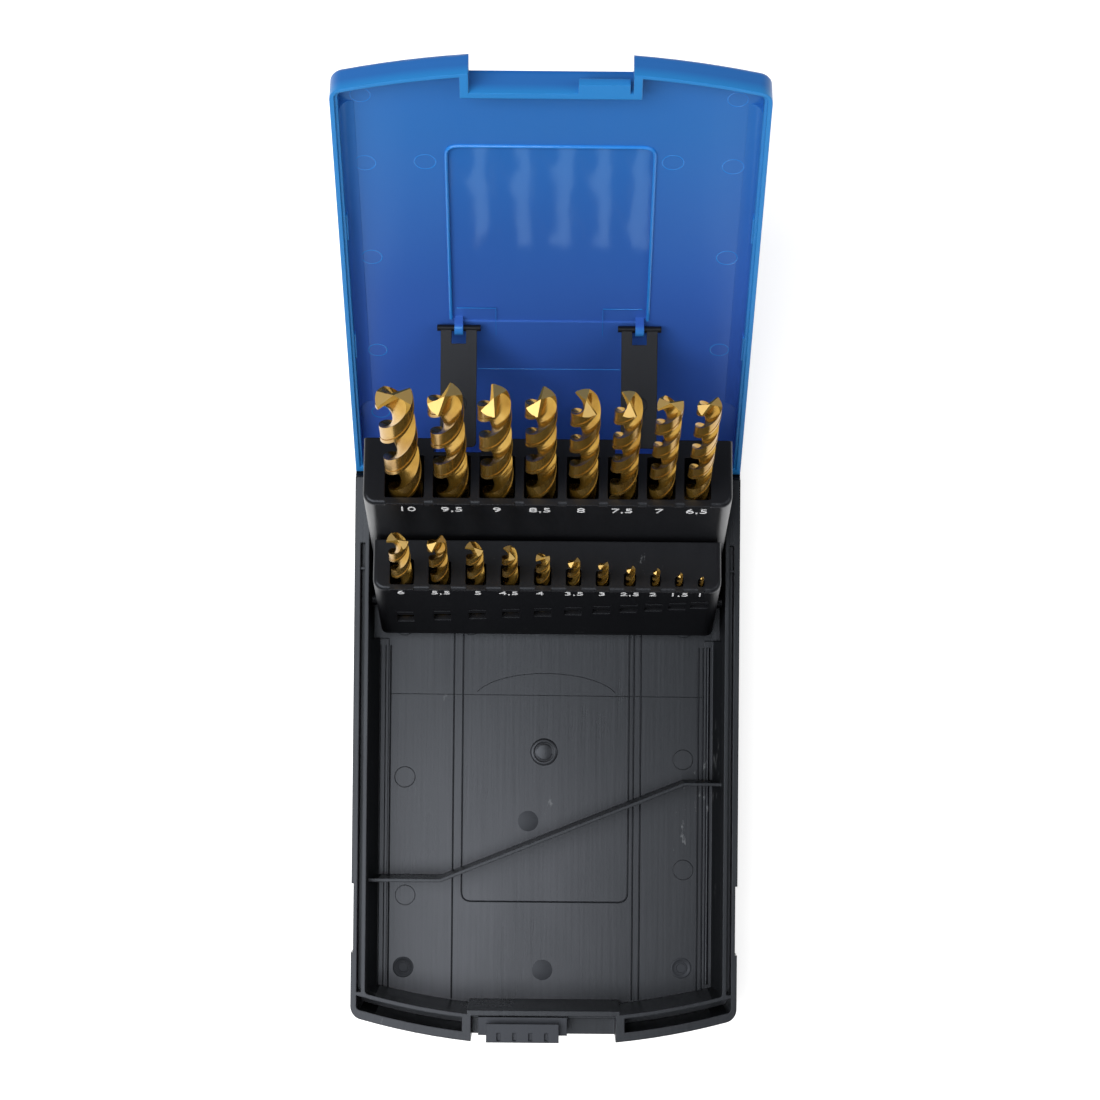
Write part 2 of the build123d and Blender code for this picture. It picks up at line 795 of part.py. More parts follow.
plate_back = catch_root - catch_reach - latch_gap
plate_front = plate_back - latch_plate
latch_foot = -recess_drop + latch_gap
lip_bottom = latch_rise - latch_lip_wall
latch_end = latch_start + latch_width
with BuildPart() as latch_slider:
    add(block(rim, (latch_start, latch_end), (plate_front, plate_back), (latch_foot, latch_rise)))
    # Lip that passes over the catch
    add(
        block(
            rim,
            (latch_start, latch_end),
            (plate_front, plate_back + latch_lip),
            (lip_bottom, latch_rise),
        )
    )
    # Body behind the plate, grooved for the rail
    body_top = -part_gap
    add(
        block(
            rim,
            (latch_start - latch_arm, latch_end + latch_arm),
            (plate_back - latch_plate / 2, -recess_back - latch_gap),
            (latch_foot, body_top),
        )
    )
    rail_half = latch_rail_wall / 2 + latch_gap / 2
    add(
        block(
            rim,
            (-case_width, case_width),
            (-recess_back - latch_rail - latch_gap / 2, 0),
            (-latch_rail_drop - rail_half, -latch_rail_drop + rail_half),
        ),
        mode=Mode.SUBTRACT,
    )
    # Four short grip grooves in the front half of the top
    groove_middle = plate_front + grip_slot_edge + grip_slot_length / 2
    with BuildSketch(rim.offset(latch_rise)):
        with Locations((latch_start + latch_width / 2, groove_middle)):
            with GridLocations(grip_slot_pitch, 0, 4, 1):
                Rectangle(grip_slot_width, grip_slot_length)
    extrude(amount=-grip_slot_deep, mode=Mode.SUBTRACT)
finish(latch_slider, "latch_slider")

# ---- Bits -----------------------------------------------------------------------------


def polar(reach, turn):
    """Point at a distance from the axis and an angle in radians."""
    return (reach * cos(turn), reach * sin(turn))


def bit_section(plane, radius, lead, turn):
    """Section of the fluted part: two flutes, and lands eased behind their margins.

    The lip side of a flute leans with the helix, so that grinding the point leaves the
    lip straight; its heel side is a round that starts at the web.
    """
    thin = 2 * web * radius
    lean = 2 * pi / (lead * tan(radians(point_angle / 2)))
    eased = radius * (1 - land_ease)
    clear = radius + cut_over + radius / 2
    with BuildSketch(plane) as section:
        Circle(radius)
        for start in (turn, turn + pi):
            lip = [
                polar(reach, start + asin(thin / reach) + lean * reach)
                for reach in (radius, (radius + thin) / 2, thin)
            ]
            corner = start + asin(thin / radius) + lean * radius
            heel = corner + radians(flute_open)
            root = start + pi / 2 + lean * thin
            steps = [heel - share * (heel - corner) / 3 for share in range(4)]
            with BuildLine():
                ThreePointArc(*lip)
                TangentArc(lip[-1], polar(radius, heel), tangent=(-sin(root), cos(root)))
                Polyline(polar(radius, heel), *[polar(clear, step) for step in steps], lip[0])
            make_face(mode=Mode.SUBTRACT)
            back = heel - pi
            edge = corner - radians(margin_turn)
            middle = (back + edge) / 2
            with BuildLine():
                ThreePointArc(polar(eased, back), polar(eased, middle), polar(eased, edge))
                Polyline(
                    polar(eased, edge),
                    polar(clear, edge),
                    polar(clear, middle),
                    polar(clear, back),
                    polar(eased, back),
                )
            make_face(mode=Mode.SUBTRACT)
    return section.sketch


def ground_point(stand, length, radius, turn):
    """What grinding a split point leaves: two lip facets, with a steep heel behind each."""
    slope = 1 / tan(radians(point_angle / 2))
    relief = tan(radians(facet_relief))
    steep = tan(radians(heel_relief))
    back = radians(facet_turn)
    fall = slope * cos(back) + relief * sin(back)
    facets = [
        (slope, -relief),
        (fall * cos(back) - steep * sin(back), -steep * cos(back) - fall * sin(back)),
    ]
    tip = stand.offset(length).origin
    with BuildPart(stand.offset(-cut_over)) as kept:
        Box(4 * radius, 4 * radius, length + 4 * radius, align=(Align.CENTER, Align.CENTER, Align.MIN))
        for start in (turn, turn + pi):
            for lean_x, lean_y in facets:
                across = lean_x * cos(start) - lean_y * sin(start)
                along = lean_x * sin(start) + lean_y * cos(start)
                normal = stand.x_dir * across + stand.y_dir * along + stand.z_dir
                split(bisect_by=Plane(tip, z_dir=normal), keep=Keep.BOTTOM)
    return kept.part


def make_bit(name, frame, bit, x, face, slot_floor):
    """A twist drill: plain shank, two right-hand flutes and a ground point."""
    diameter, length, flutes, exposed, lip_turn = bit
    radius = diameter / 2
    axis_z = slot_floor + seat_gap + radius
    root = frame.from_local_coords((x, -face + length - exposed, axis_z))
    stand = Plane(root, x_dir=frame.x_dir, z_dir=-frame.y_dir)
    shank_length = length - flutes
    lead = pi * diameter / tan(radians(helix_angle))
    turn = radians(lip_turn)
    twist = 2 * pi * flutes / lead
    section = bit_section(stand.offset(shank_length), radius, lead, turn - twist)
    fluted = Solid.extrude_linear_with_rotation(
        section.face(),
        stand.offset(shank_length).origin,
        stand.z_dir * flutes,
        degrees(twist),
    )
    with BuildPart() as piece:
        with BuildSketch(stand):
            Circle(radius)
        extrude(amount=shank_length)
        add(fluted)
        add(ground_point(stand, length, radius, turn), mode=Mode.INTERSECT)
    finish(piece, name)


def bit_name(diameter):
    """Node name of a bit, such as drill_bit_9_5."""
    whole, tenth = f"{diameter:.1f}".split(".")
    return f"drill_bit_{whole}_{tenth}"


for bit, x in zip(upper_bits, upper_places):
    make_bit(bit_name(bit[0]), upper_frame, bit, x, upper_face, upper_bottom + upper_sill)
for bit, x in zip(lower_bits, lower_places):
    make_bit(bit_name(bit[0]), lower_frame, bit, x, lower_face, lower_bottom + lower_sill)

print("upper pivot", upper_pivot, "lower pivot", lower_pivot, "hinge y", rim.origin.Y)
print("upper places", [round(x, 2) for x in upper_places])
print("lower places", [round(x, 2) for x in lower_places])
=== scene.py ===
# %% [markdown]
# # A drill bit case, dressed
#
# The model that comes in already has every solid of the case: tray, lid, two bit holders,
# straps, latch and nineteen drills. This lesson gives it what a mould maker and a grinder
# leave behind: plastic grain, ejector marks, fine ribs, printed sizes and coated steel.
# Everything is in metres, in the frame of the solids, so nothing needs fitting.

# %% Load the solids
import math

import bmesh
import bpy
from mathutils import Matrix, Vector


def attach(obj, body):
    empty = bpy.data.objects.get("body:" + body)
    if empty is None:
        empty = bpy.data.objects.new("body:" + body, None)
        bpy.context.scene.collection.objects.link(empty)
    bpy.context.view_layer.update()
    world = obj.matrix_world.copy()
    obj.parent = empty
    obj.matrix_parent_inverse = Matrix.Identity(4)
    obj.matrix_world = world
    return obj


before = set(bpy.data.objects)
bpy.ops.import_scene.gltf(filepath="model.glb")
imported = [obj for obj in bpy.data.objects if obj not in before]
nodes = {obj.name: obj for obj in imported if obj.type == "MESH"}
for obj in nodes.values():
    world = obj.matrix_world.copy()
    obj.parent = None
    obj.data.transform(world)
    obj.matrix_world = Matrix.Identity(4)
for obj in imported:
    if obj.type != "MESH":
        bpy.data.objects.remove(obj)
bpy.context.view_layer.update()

# %% [markdown]
# ## Frames of the moving pieces
#
# The lid and both holders are drawn as they lie in the closed case, measured from the lid
# hinge, and then swung open. The same turns written as matrices let every detail be placed
# in the plain coordinates of its own piece: x across, y towards the hinge, z up. Working
# out each slanted corner by hand would also do, but a matrix says it once. A face of a
# piece has a frame too, which is turned over where the face looks down in the closed case.

# %% Swung frames
MM = 0.001
LID_SWING, HOLDER_SWING, STRAP_SWING = 123.5, 105, 51.87


def swung(base, y, z, degrees):
    """The frame turned open about the x line through (y, z)."""
    pivot = Matrix.Translation((0, y, z))
    return base @ pivot @ Matrix.Rotation(math.radians(-degrees), 4, "X") @ pivot.inverted()


def face_of(piece_frame, height, over=False):
    """The frame of a flat face at this height of a piece."""
    face = piece_frame @ Matrix.Translation((0, 0, height))
    return face @ Matrix.Rotation(math.pi, 4, "X") if over else face


case_frame = Matrix.Translation((0, 82.5, 32))
lid_frame = swung(case_frame, y=0, z=0, degrees=LID_SWING)
upper_frame = swung(case_frame, y=-17.42, z=-3.74, degrees=HOLDER_SWING)
lower_frame = swung(case_frame, y=-38.064, z=-19.66, degrees=HOLDER_SWING)
strap_frame = swung(lid_frame, y=-60.2, z=3.9, degrees=STRAP_SWING)
to_metres = Matrix.Scale(MM, 4)
print("lid leans back", round(90 - math.degrees(math.acos(-lid_frame.col[2][1])), 1))

# %% [markdown]
# ## Camera
#
# The portrait is taken from almost straight above, about a metre away, with a long lens,
# so the open lid is seen foreshortened. A camera is placed by its own three axes, which is
# easier to keep exact than three turns: right and up across the picture, and back.

# %% Camera
ELEVATION, YAW, ROLL = (math.radians(a) for a in (88.75, 0.29, 0.218))
LOOKED_AT = Vector((0.742, 58.763, 32.0))
DISTANCE = 966.23


def aim_camera():
    """The portrait camera, made the scene's own."""
    flat = math.cos(ELEVATION)
    back = Vector((math.sin(YAW) * flat, -math.cos(YAW) * flat, math.sin(ELEVATION)))
    level = Vector((math.cos(YAW), math.sin(YAW), 0))
    rise = back.cross(level)
    right = math.cos(ROLL) * level + math.sin(ROLL) * rise
    up = math.cos(ROLL) * rise - math.sin(ROLL) * level
    camera = bpy.data.cameras.new("portrait")
    camera.lens, camera.sensor_width = 108.74, 36.0
    camera.clip_start, camera.clip_end = 0.05, 20.0
    camera.dof.use_dof = False
    stand = bpy.data.objects.new("portrait", camera)
    turn = Matrix((right, up, back)).transposed().to_4x4()
    stand.matrix_world = Matrix.Translation((LOOKED_AT + back * DISTANCE) * MM) @ turn
    bpy.context.scene.collection.objects.link(stand)
    bpy.context.scene.camera = stand
    return stand


camera = aim_camera()
print("camera height", round(camera.matrix_world.translation.z, 3))

# %% [markdown]
# ## A small kit for nodes
#
# Every finish here is made of nodes. Writing the same three lines for each node hides what
# a material is about, so one helper adds a node and sets its sockets, and another starts a
# material with its Principled shader. Values that are the same all over a surface go
# straight on the shader's sockets.

# %% Node kit
def add_node(tree, kind, inputs=None, **settings):
    """Adds a node; inputs maps socket names to a value or to another node's output."""
    made = tree.nodes.new(kind)
    for key, value in settings.items():
        setattr(made, key, value)
    for key, value in (inputs or {}).items():
        if isinstance(value, bpy.types.NodeSocket):
            tree.links.new(value, made.inputs[key])
        else:
            made.inputs[key].default_value = value
    return made


def sums(tree, how, *values):
    """The result of one maths node."""
    return add_node(tree, "ShaderNodeMath", dict(enumerate(values)), operation=how).outputs[0]


def spread(tree, value, source=(0.0, 1.0), target=(0.0, 1.0), kind="LINEAR"):
    """Maps a value from the source range to the target range."""
    ends = {"From Min": source[0], "From Max": source[1], "To Min": target[0], "To Max": target[1]}
    return add_node(
        tree, "ShaderNodeMapRange", {"Value": value, **ends}, interpolation_type=kind
    ).outputs["Result"]


def start_material(name, **values):
    """A new material; returns it, its tree and its Principled shader."""
    material = bpy.data.materials.new(name)
    material.use_nodes = True
    shader = material.node_tree.nodes["Principled BSDF"]
    for key, value in values.items():
        shader.inputs[key.replace("_", " ")].default_value = value
    return material, material.node_tree, shader


print("node kit ready")

# %% [markdown]
# ## Light, floor and background
#
# Black plastic has almost no colour of its own: what is seen on it is the light that it
# mirrors. So the case lies under broad soft panels, one large and left of the lens, one
# weaker on the right, and a pale world fills in.

# %% Lamps
def panel(name, place, target, size, power):
    """A soft rectangular lamp that faces a point."""
    lamp = bpy.data.lights.new(name, "AREA")
    lamp.shape, lamp.size, lamp.size_y = "RECTANGLE", *size
    lamp.energy = power
    stand = bpy.data.objects.new(name, lamp)
    gaze = Vector(target) - Vector(place)
    turn = gaze.to_track_quat("-Z", "Y").to_matrix().to_4x4()
    stand.matrix_world = Matrix.Translation(place) @ turn
    bpy.context.scene.collection.objects.link(stand)
    return stand.name


lamps = [
    panel("left_panel", (-0.55, -0.05, 1.25), (0, 0, 0), size=(0.8, 1.2), power=19),
    panel("right_panel", (0.75, 0.1, 1.0), (0, 0.05, 0), size=(0.4, 0.9), power=3),
    panel("front_panel", (0.05, -1.0, 0.75), (0, 0.05, 0.05), size=(1.1, 0.5), power=1.5),
]
print("lamps:", lamps)

# %% [markdown]
# The floor is white and is lifted to full white only where the lens or a mirror-like
# surface looks at it, so it still takes a shadow and casts no light of its own. The world
# works much the same way: white to the lens, dim to the case.

# %% Floor and world
FLOOR_LIFT = 0.62
WORLD_FILL = 0.2


def seen_factor(tree):
    """1 where the lens, a gloss or a clear piece looks, and 0 for plain bounced light."""
    path = add_node(tree, "ShaderNodeLightPath").outputs
    factor = path["Is Camera Ray"]
    for other in ("Is Glossy Ray", "Is Transmission Ray"):
        factor = sums(tree, "MAXIMUM", factor, path[other])
    return factor


def pale_floor(size):
    """A matt white floor that glows a little where it is seen."""
    corners = [(-size, -size, 0), (size, -size, 0), (size, size, 0), (-size, size, 0)]
    mesh = bpy.data.meshes.new("floor")
    mesh.from_pydata(corners, [], [(0, 1, 2, 3)])
    floor = bpy.data.objects.new("floor", mesh)
    bpy.context.scene.collection.objects.link(floor)
    paint = bpy.data.materials.new("floor_paint")
    paint.use_nodes = True
    tree = paint.node_tree
    tree.nodes.clear()
    glow = sums(tree, "MULTIPLY", seen_factor(tree), FLOOR_LIFT)
    matt = add_node(tree, "ShaderNodeBsdfDiffuse", {"Color": (0.8, 0.8, 0.8, 1)})
    lift = add_node(tree, "ShaderNodeEmission", {"Strength": glow})
    both = add_node(tree, "ShaderNodeAddShader", {0: matt.outputs[0], 1: lift.outputs[0]})
    add_node(tree, "ShaderNodeOutputMaterial", {"Surface": both.outputs[0]})
    mesh.materials.append(paint)


def pale_world():
    """A world that is white to the lens and dim to everything else."""
    world = bpy.data.worlds.new("studio")
    bpy.context.scene.world = world
    world.use_nodes = True
    tree = world.node_tree
    path = add_node(tree, "ShaderNodeLightPath")
    strength = spread(tree, path.outputs["Is Camera Ray"], target=(WORLD_FILL, 1.0))
    sky = tree.nodes["Background"]
    tree.links.new(strength, sky.inputs["Strength"])
    sky.inputs["Color"].default_value = (1, 1, 1, 1)


pale_floor(4.0)
pale_world()
bpy.context.scene.view_settings.view_transform = "Standard"
print("floor and world ready")

# %% [markdown]
# ## Patterns for the finishes
#
# Patterns come from noise in the object's own coordinates, in waves per metre along each
# axis, so they stay in place when a piece moves. More short helpers mix colours, spread a
# ramp of them over a value, and turn a pattern into relief a few hundredths of a
# millimetre deep.

# %% Pattern kit
COLOUR_A, COLOUR_B, COLOUR_RESULT = 6, 7, 2  # the mix node's colour sockets


def noise(tree, waves, detail=3.0, turn=(0, 0, 0), **inputs):
    """Noise with this many waves per metre along each axis, turned first."""
    coords = add_node(tree, "ShaderNodeTexCoord")
    place = add_node(
        tree,
        "ShaderNodeMapping",
        {"Vector": coords.outputs["Object"], "Rotation": turn, "Scale": waves},
    )
    values = {"Vector": place.outputs[0], "Scale": 1.0, "Detail": detail, **inputs}
    return add_node(tree, "ShaderNodeTexNoise", values).outputs["Fac"]


def colour_ramp(tree, source, stops):
    """A ramp from (position, colour) stops."""
    ramp = add_node(tree, "ShaderNodeValToRGB", {"Fac": source})
    while len(ramp.color_ramp.elements) < len(stops):
        ramp.color_ramp.elements.new(0.5)
    for element, (place, colour) in zip(ramp.color_ramp.elements, stops):
        element.position, element.color = place, (*colour, 1)
    return ramp.outputs["Color"]


def mixed(tree, factor, low, high):
    """Colour mix between two sources or colours."""
    mix = add_node(tree, "ShaderNodeMix", {0: factor}, data_type="RGBA")
    for socket, value in ((mix.inputs[COLOUR_A], low), (mix.inputs[COLOUR_B], high)):
        if isinstance(value, bpy.types.NodeSocket):
            tree.links.new(value, socket)
        else:
            socket.default_value = (*value, 1)
    return mix.outputs[COLOUR_RESULT]


def relief(tree, height, strength, distance, below=None):
    """A bump, on top of another normal if one is given."""
    values = {"Height": height, "Strength": strength, "Distance": distance}
    if below is not None:
        values["Normal"] = below
    return add_node(tree, "ShaderNodeBump", values).outputs["Normal"]


def soft_edges(tree, radius):
    """The normal with every edge rounded by this radius."""
    return add_node(tree, "ShaderNodeBevel", {"Radius": radius}, samples=4).outputs["Normal"]


print("pattern kit ready")

# %% [markdown]
# ## Moulded black plastic
#
# The tray, the holders, the straps and the latch are one kind of plastic with different
# mould finishes. The tray needs most: its floor is painted paler on the left and ahead than
# on the right and behind, a painted reflection of the left lamp and painted shade by the
# holders, and only on faces that look up. Its inner side walls are left matt by the mould.
# Painting these places by hand would fix them to one mesh; a mask made of position and normal fits
# any.

# %% Masks for the tray
SIDE_WALL, WALL_REACH = 0.0511, 0.0022
WALL_DULLNESS = 0.34


def own_place(tree):
    """Position and normal in the object's own coordinates, each split in three."""
    coords = add_node(tree, "ShaderNodeTexCoord")
    place = add_node(tree, "ShaderNodeSeparateXYZ", {0: coords.outputs["Object"]})
    facing = add_node(tree, "ShaderNodeSeparateXYZ", {0: coords.outputs["Normal"]})
    return place.outputs, facing.outputs


def painted_floor_light(tree, source):
    """Scales a value as painted light and shade: more on the left and ahead, less right and
    behind.
    """
    place, facing = own_place(tree)
    # Painted light and shade: paler on the left and ahead, where the left lamp mirrors, and darker
    # behind, in the holders' shade.
    across = spread(tree, place["X"], (-0.05, 0.05), (1.5, 0.25), "SMOOTHSTEP")
    along = spread(tree, place["Y"], (-0.05, 0.035), (1.1, 0.05), "SMOOTHSTEP")
    low = spread(tree, place["Z"], (0.003, 0.008), (1.0, 0.3))
    level = spread(tree, facing["Z"], (0.3, 0.8))
    amount = sums(tree, "MULTIPLY", across, along)
    for factor in (low, level, source):
        amount = sums(tree, "MULTIPLY", amount, factor)
    return amount


def dull_walls(tree, rough):
    """Adds roughness on the tray's two inner side walls."""
    place, facing = own_place(tree)
    near = sums(tree, "COMPARE", sums(tree, "ABSOLUTE", place["X"]), SIDE_WALL, WALL_REACH)
    upright = spread(tree, facing["Z"], (0.3, 0.6), (WALL_DULLNESS, 0.0))
    return sums(tree, "ADD", sums(tree, "MULTIPLY", near, upright), rough)


def scuffs(tree):
    """1 where the plastic is scratched, in a few sparse patches."""
    fine = noise(tree, (420, 170, 420), 5.0, Roughness=0.7)
    where = noise(tree, (31, 23, 31), 1.0)
    return spread(tree, sums(tree, "MULTIPLY", fine, where), (0.435, 0.475))


print("tray masks ready")

# %% [markdown]
# The plastic itself has long faint flow lines from front to rear, soft clouds in the
# gloss, and a fine spark-eroded grain. Two noises make the relief: one stretched along the
# case for the flow lines, one fine for the grain. A rounded-edge normal catches light on
# every mould edge, which bevelling each solid by hand would also give, at far more faces.

# %% Black plastic
COOL = (0.84, 0.9, 1.0, 1)
# The paler colour of the tray floor's painted light and shade.
TRAY_PAINTED_LIGHT_COLOUR = (0.15, 0.155, 0.175)
SCRATCHED = (0.10, 0.105, 0.11)
FLOW_DEPTH, GRAIN_DEPTH = 0.00006, 0.00003


def black_plastic(name, colour, shine, gloss, flow, grain, edge, turn=(0, 0, 0), tray=False):
    """Black moulded plastic: colour, shine, roughness range, flow, grain and edge radius."""
    material, tree, shader = start_material(name, Specular_IOR_Level=shine, Specular_Tint=COOL)
    lines = noise(tree, (900, 26, 200), 4.0, turn)
    clouds = noise(tree, (34, 22, 34), 3.0, turn)
    fine = noise(tree, (2600, 2600, 2600), 2.0)
    worn = sums(tree, "MULTIPLY", spread(tree, lines, target=(0.36, 0.64)), clouds)
    rough = spread(tree, worn, (0.1, 0.45), gloss)
    tree.links.new(dull_walls(tree, rough) if tray else rough, shader.inputs["Roughness"])
    # On the tray the paler colour is painted light and shade; on the other parts it is random
    # tone.
    pale_tone_and_painted_light = TRAY_PAINTED_LIGHT_COLOUR if tray else tuple(c * 1.9 + 0.004 for c in colour)
    amount = painted_floor_light(tree, worn) if tray else worn
    tint = mixed(tree, amount, colour, pale_tone_and_painted_light)
    tree.links.new(mixed(tree, scuffs(tree), tint, SCRATCHED), shader.inputs["Base Color"])
    flowed = relief(tree, lines, flow, FLOW_DEPTH, soft_edges(tree, edge))
    tree.links.new(relief(tree, fine, grain, GRAIN_DEPTH, flowed), shader.inputs["Normal"])
    return material


print("black plastic ready")

# %% [markdown]
# Four plastics come of it. The tray is the smoothest and has the painted light and shade and the
# matt walls.
# The holders were moulded lying down, so their lines turn up with them. The straps and the
# latch are coarser, and the latch is the palest of all.

# %% Four black plastics
upright = (math.radians(HOLDER_SWING), 0, 0)
tray_plastic = black_plastic(
    "tray_plastic",
    (0.002, 0.0025, 0.0035),
    shine=0.3,
    gloss=(0.24, 0.38),
    flow=0.35,
    grain=0.3,
    edge=0.0004,
    tray=True,
)
holder_plastic = black_plastic(
    "holder_plastic",
    (0.0035, 0.0035, 0.0045),
    shine=0.3,
    gloss=(0.3, 0.42),
    flow=0.3,
    grain=0.35,
    edge=0.0004,
    turn=upright,
)
strap_plastic = black_plastic(
    "strap_plastic",
    (0.004, 0.004, 0.005),
    shine=0.2,
    gloss=(0.36, 0.48),
    flow=0.2,
    grain=0.5,
    edge=0.0003,
)
latch_plastic = black_plastic(
    "latch_plastic",
    (0.013, 0.014, 0.018),
    shine=0.38,
    gloss=(0.36, 0.48),
    flow=0.2,
    grain=0.5,
    edge=0.0004,
)
blacks = (tray_plastic, holder_plastic, strap_plastic, latch_plastic)
print("black plastics:", [m.name for m in blacks])

# %% [markdown]
# ## Blue lid plastic
#
# The lid is dyed through, a clear medium blue with a satin face from the mould. Only the
# shallow panel in its middle is polished, so it mirrors the gaps between the drills. One
# material can do both: a mask in the lid's own plane is 1 inside the panel, and it drives
# the roughness. The lid leans, so its own plane comes from its swung frame, turned back.

# %% Places on the lid
SKIN_TOP = 0.007


def lid_place(tree):
    """Across, along and height in the lid's own frame, in metres."""
    coords = add_node(tree, "ShaderNodeTexCoord")
    back = lid_frame.copy()
    back.translation = back.translation * MM
    home = back.inverted()
    local = add_node(
        tree,
        "ShaderNodeMapping",
        {
            "Vector": coords.outputs["Object"],
            "Location": home.translation,
            "Rotation": home.to_euler(),
        },
    )
    return add_node(tree, "ShaderNodeSeparateXYZ", {0: local.outputs[0]}).outputs


def inset_mask(tree, place, half_width, near, far):
    """1 on the inner face inside a rectangle of the lid's plane, and 0 elsewhere."""
    inside = sums(tree, "LESS_THAN", sums(tree, "ABSOLUTE", place["X"]), half_width)
    for axis, limit, how in (
        ("Y", -near, "LESS_THAN"),
        ("Y", -far, "GREATER_THAN"),
        ("Z", SKIN_TOP, "LESS_THAN"),
    ):
        inside = sums(tree, "MULTIPLY", inside, sums(tree, how, place[axis], limit))
    return inside


print("lid places ready")

# %% [markdown]
# The inner blue has painted shade: darker near the hinge, paler towards the far edge. It is
# also paler where the walls are thin. Faint clouds in it and long drawn lines in the gloss keep
# the blue from looking like paint, and a slow wave in the skin bends what the panel mirrors.

# %% Blue plastic
# Where the painted shade on the lid runs from dark, at the hinge, to pale.
NEAR_HINGE, FAR_EDGE = -0.02, -0.14
POLISHED = 0.09


def lid_dye_and_painted_shade(tree, place):
    """The lid's colour by place, with painted shade darker near the hinge."""
    # Painted shade: the blue is darker near the hinge and paler towards the far edge.
    blue_with_painted_shade = colour_ramp(
        tree,
        spread(tree, place["Y"], (NEAR_HINGE, FAR_EDGE)),
        [(0.0, (0.038, 0.090, 0.45)), (0.45, (0.038, 0.110, 0.44)), (1.0, (0.024, 0.142, 0.45))],
    )
    clouds = spread(tree, noise(tree, (18, 18, 18)), target=(0.0, 0.3))
    thin = spread(tree, place["Z"], (0.0035, 0.001))
    outside = sums(tree, "GREATER_THAN", place["Z"], SKIN_TOP)
    blue_with_painted_shade = mixed(tree, clouds, blue_with_painted_shade, (0.030, 0.155, 0.50))
    blue_with_painted_shade = mixed(tree, thin, blue_with_painted_shade, (0.024, 0.215, 0.57))
    return mixed(tree, outside, blue_with_painted_shade, (0.014, 0.130, 0.46))


def blue_plastic(name):
    """Satin blue, polished in the inset."""
    material, tree, shader = start_material(
        name, Specular_IOR_Level=0.42, Specular_Tint=(0.3, 0.72, 1.0, 1)
    )
    place = lid_place(tree)
    tree.links.new(lid_dye_and_painted_shade(tree, place), shader.inputs["Base Color"])
    satin = spread(tree, noise(tree, (700, 16, 16)), target=(0.26, 0.36))
    inset = inset_mask(tree, place, half_width=0.0268, near=0.0605, far=0.1330)
    tree.links.new(spread(tree, inset, target=(satin, POLISHED)), shader.inputs["Roughness"])
    wave = noise(tree, (75, 45, 45), 2.0)
    wavy = relief(tree, wave, strength=0.6, distance=0.00025, below=soft_edges(tree, 0.0004))
    fine = noise(tree, (2400, 2400, 2400), 2.0)
    skin = relief(tree, fine, strength=0.12, distance=0.00002, below=wavy)
    tree.links.new(skin, shader.inputs["Normal"])
    return material


lid_plastic = blue_plastic("lid_plastic")
print("lid finish:", lid_plastic.name)

# %% [markdown]
# Four small finishes go with these: the polished blue of the raised beads, paler than the lid
# as a painted highlight; the darker black of lines and of stamps that inserts leave in a mould,
# which on the lines is painted shade for the shade in their grooves and steps; and the white
# ink of the size figures, which is slightly chalky.

# %% Small finishes
def clouded(name, colour, gloss, waves, shine=0.5):
    """A plain plastic or ink, with soft clouds in its gloss and colour."""
    material, tree, shader = start_material(name, Specular_IOR_Level=shine, Specular_Tint=COOL)
    clouds = noise(tree, (waves, waves, waves))
    paler = tuple(min(1, c * 1.25) for c in colour)
    tree.links.new(mixed(tree, clouds, colour, paler), shader.inputs["Base Color"])
    tree.links.new(spread(tree, clouds, target=gloss), shader.inputs["Roughness"])
    skin = relief(tree, clouds, strength=0.2, distance=0.00002)
    tree.links.new(skin, shader.inputs["Normal"])
    return material


# Painted highlight: the beads' blue is paler than the lid's, on beads that are real.
bead_blue_painted_highlight = clouded("bead_blue_painted_highlight", (0.020, 0.185, 0.56), gloss=(0.12, 0.2), waves=500)
# Painted shade: this darker black on the mould lines stands for the shade in their grooves and
# steps.
painted_groove_shade = clouded(
    "painted_groove_shade", (0.004, 0.0045, 0.006), gloss=(0.28, 0.4), waves=900, shine=0.16
)
stamp_plastic = clouded(
    "stamp_plastic", (0.026, 0.028, 0.033), gloss=(0.4, 0.5), waves=1100, shine=0.2
)
figure_white = clouded("figure_white", (0.8, 0.81, 0.83), gloss=(0.45, 0.65), waves=1500)
small = (bead_blue_painted_highlight, painted_groove_shade, stamp_plastic, figure_white)
print("small finishes:", [m.name for m in small])

# %% [markdown]
# ## Coated drill steel
#
# The drills are high speed steel with a thin golden coating. Two things give them life:
# the flutes keep fine lines from grinding, which run with the helix, and the ground point
# is paler and duller. All drills stand along one direction, so a face belongs to the
# point where its own normal looks along that direction, and the mask needs no size.

# %% Coated steel
POINT_DULLNESS = 0.25
drill_line = (upper_frame.to_3x3() @ Vector((0, -1, 0))).normalized()


def coated_steel(name):
    """Golden coated steel, with grinding lines and a paler ground point."""
    material, tree, shader = start_material(
        name, Metallic=0.8, Specular_Tint=(0.94, 0.82, 0.64, 1)
    )
    coords = add_node(tree, "ShaderNodeTexCoord")
    along = add_node(
        tree,
        "ShaderNodeVectorMath",
        {0: coords.outputs["Normal"], 1: drill_line},
        operation="DOT_PRODUCT",
    )
    ground = spread(tree, along.outputs["Value"], (0.70, 0.80))
    coat = colour_ramp(
        tree,
        noise(tree, (160, 160, 90)),
        [(0.3, (0.31, 0.160, 0.020)), (0.55, (0.43, 0.25, 0.042)), (0.75, (0.52, 0.33, 0.08))],
    )
    tree.links.new(mixed(tree, ground, coat, (0.52, 0.35, 0.12)), shader.inputs["Base Color"])
    lines = noise(tree, (500, 500, 3800), 3.0, (math.radians(-15), 0, 0))
    smooth = spread(tree, lines, target=(0.17, 0.27))
    rough = sums(tree, "MULTIPLY_ADD", ground, POINT_DULLNESS, smooth)
    tree.links.new(rough, shader.inputs["Roughness"])
    ground_lines = relief(tree, lines, strength=0.08, distance=0.00002)
    tree.links.new(ground_lines, shader.inputs["Normal"])
    return material


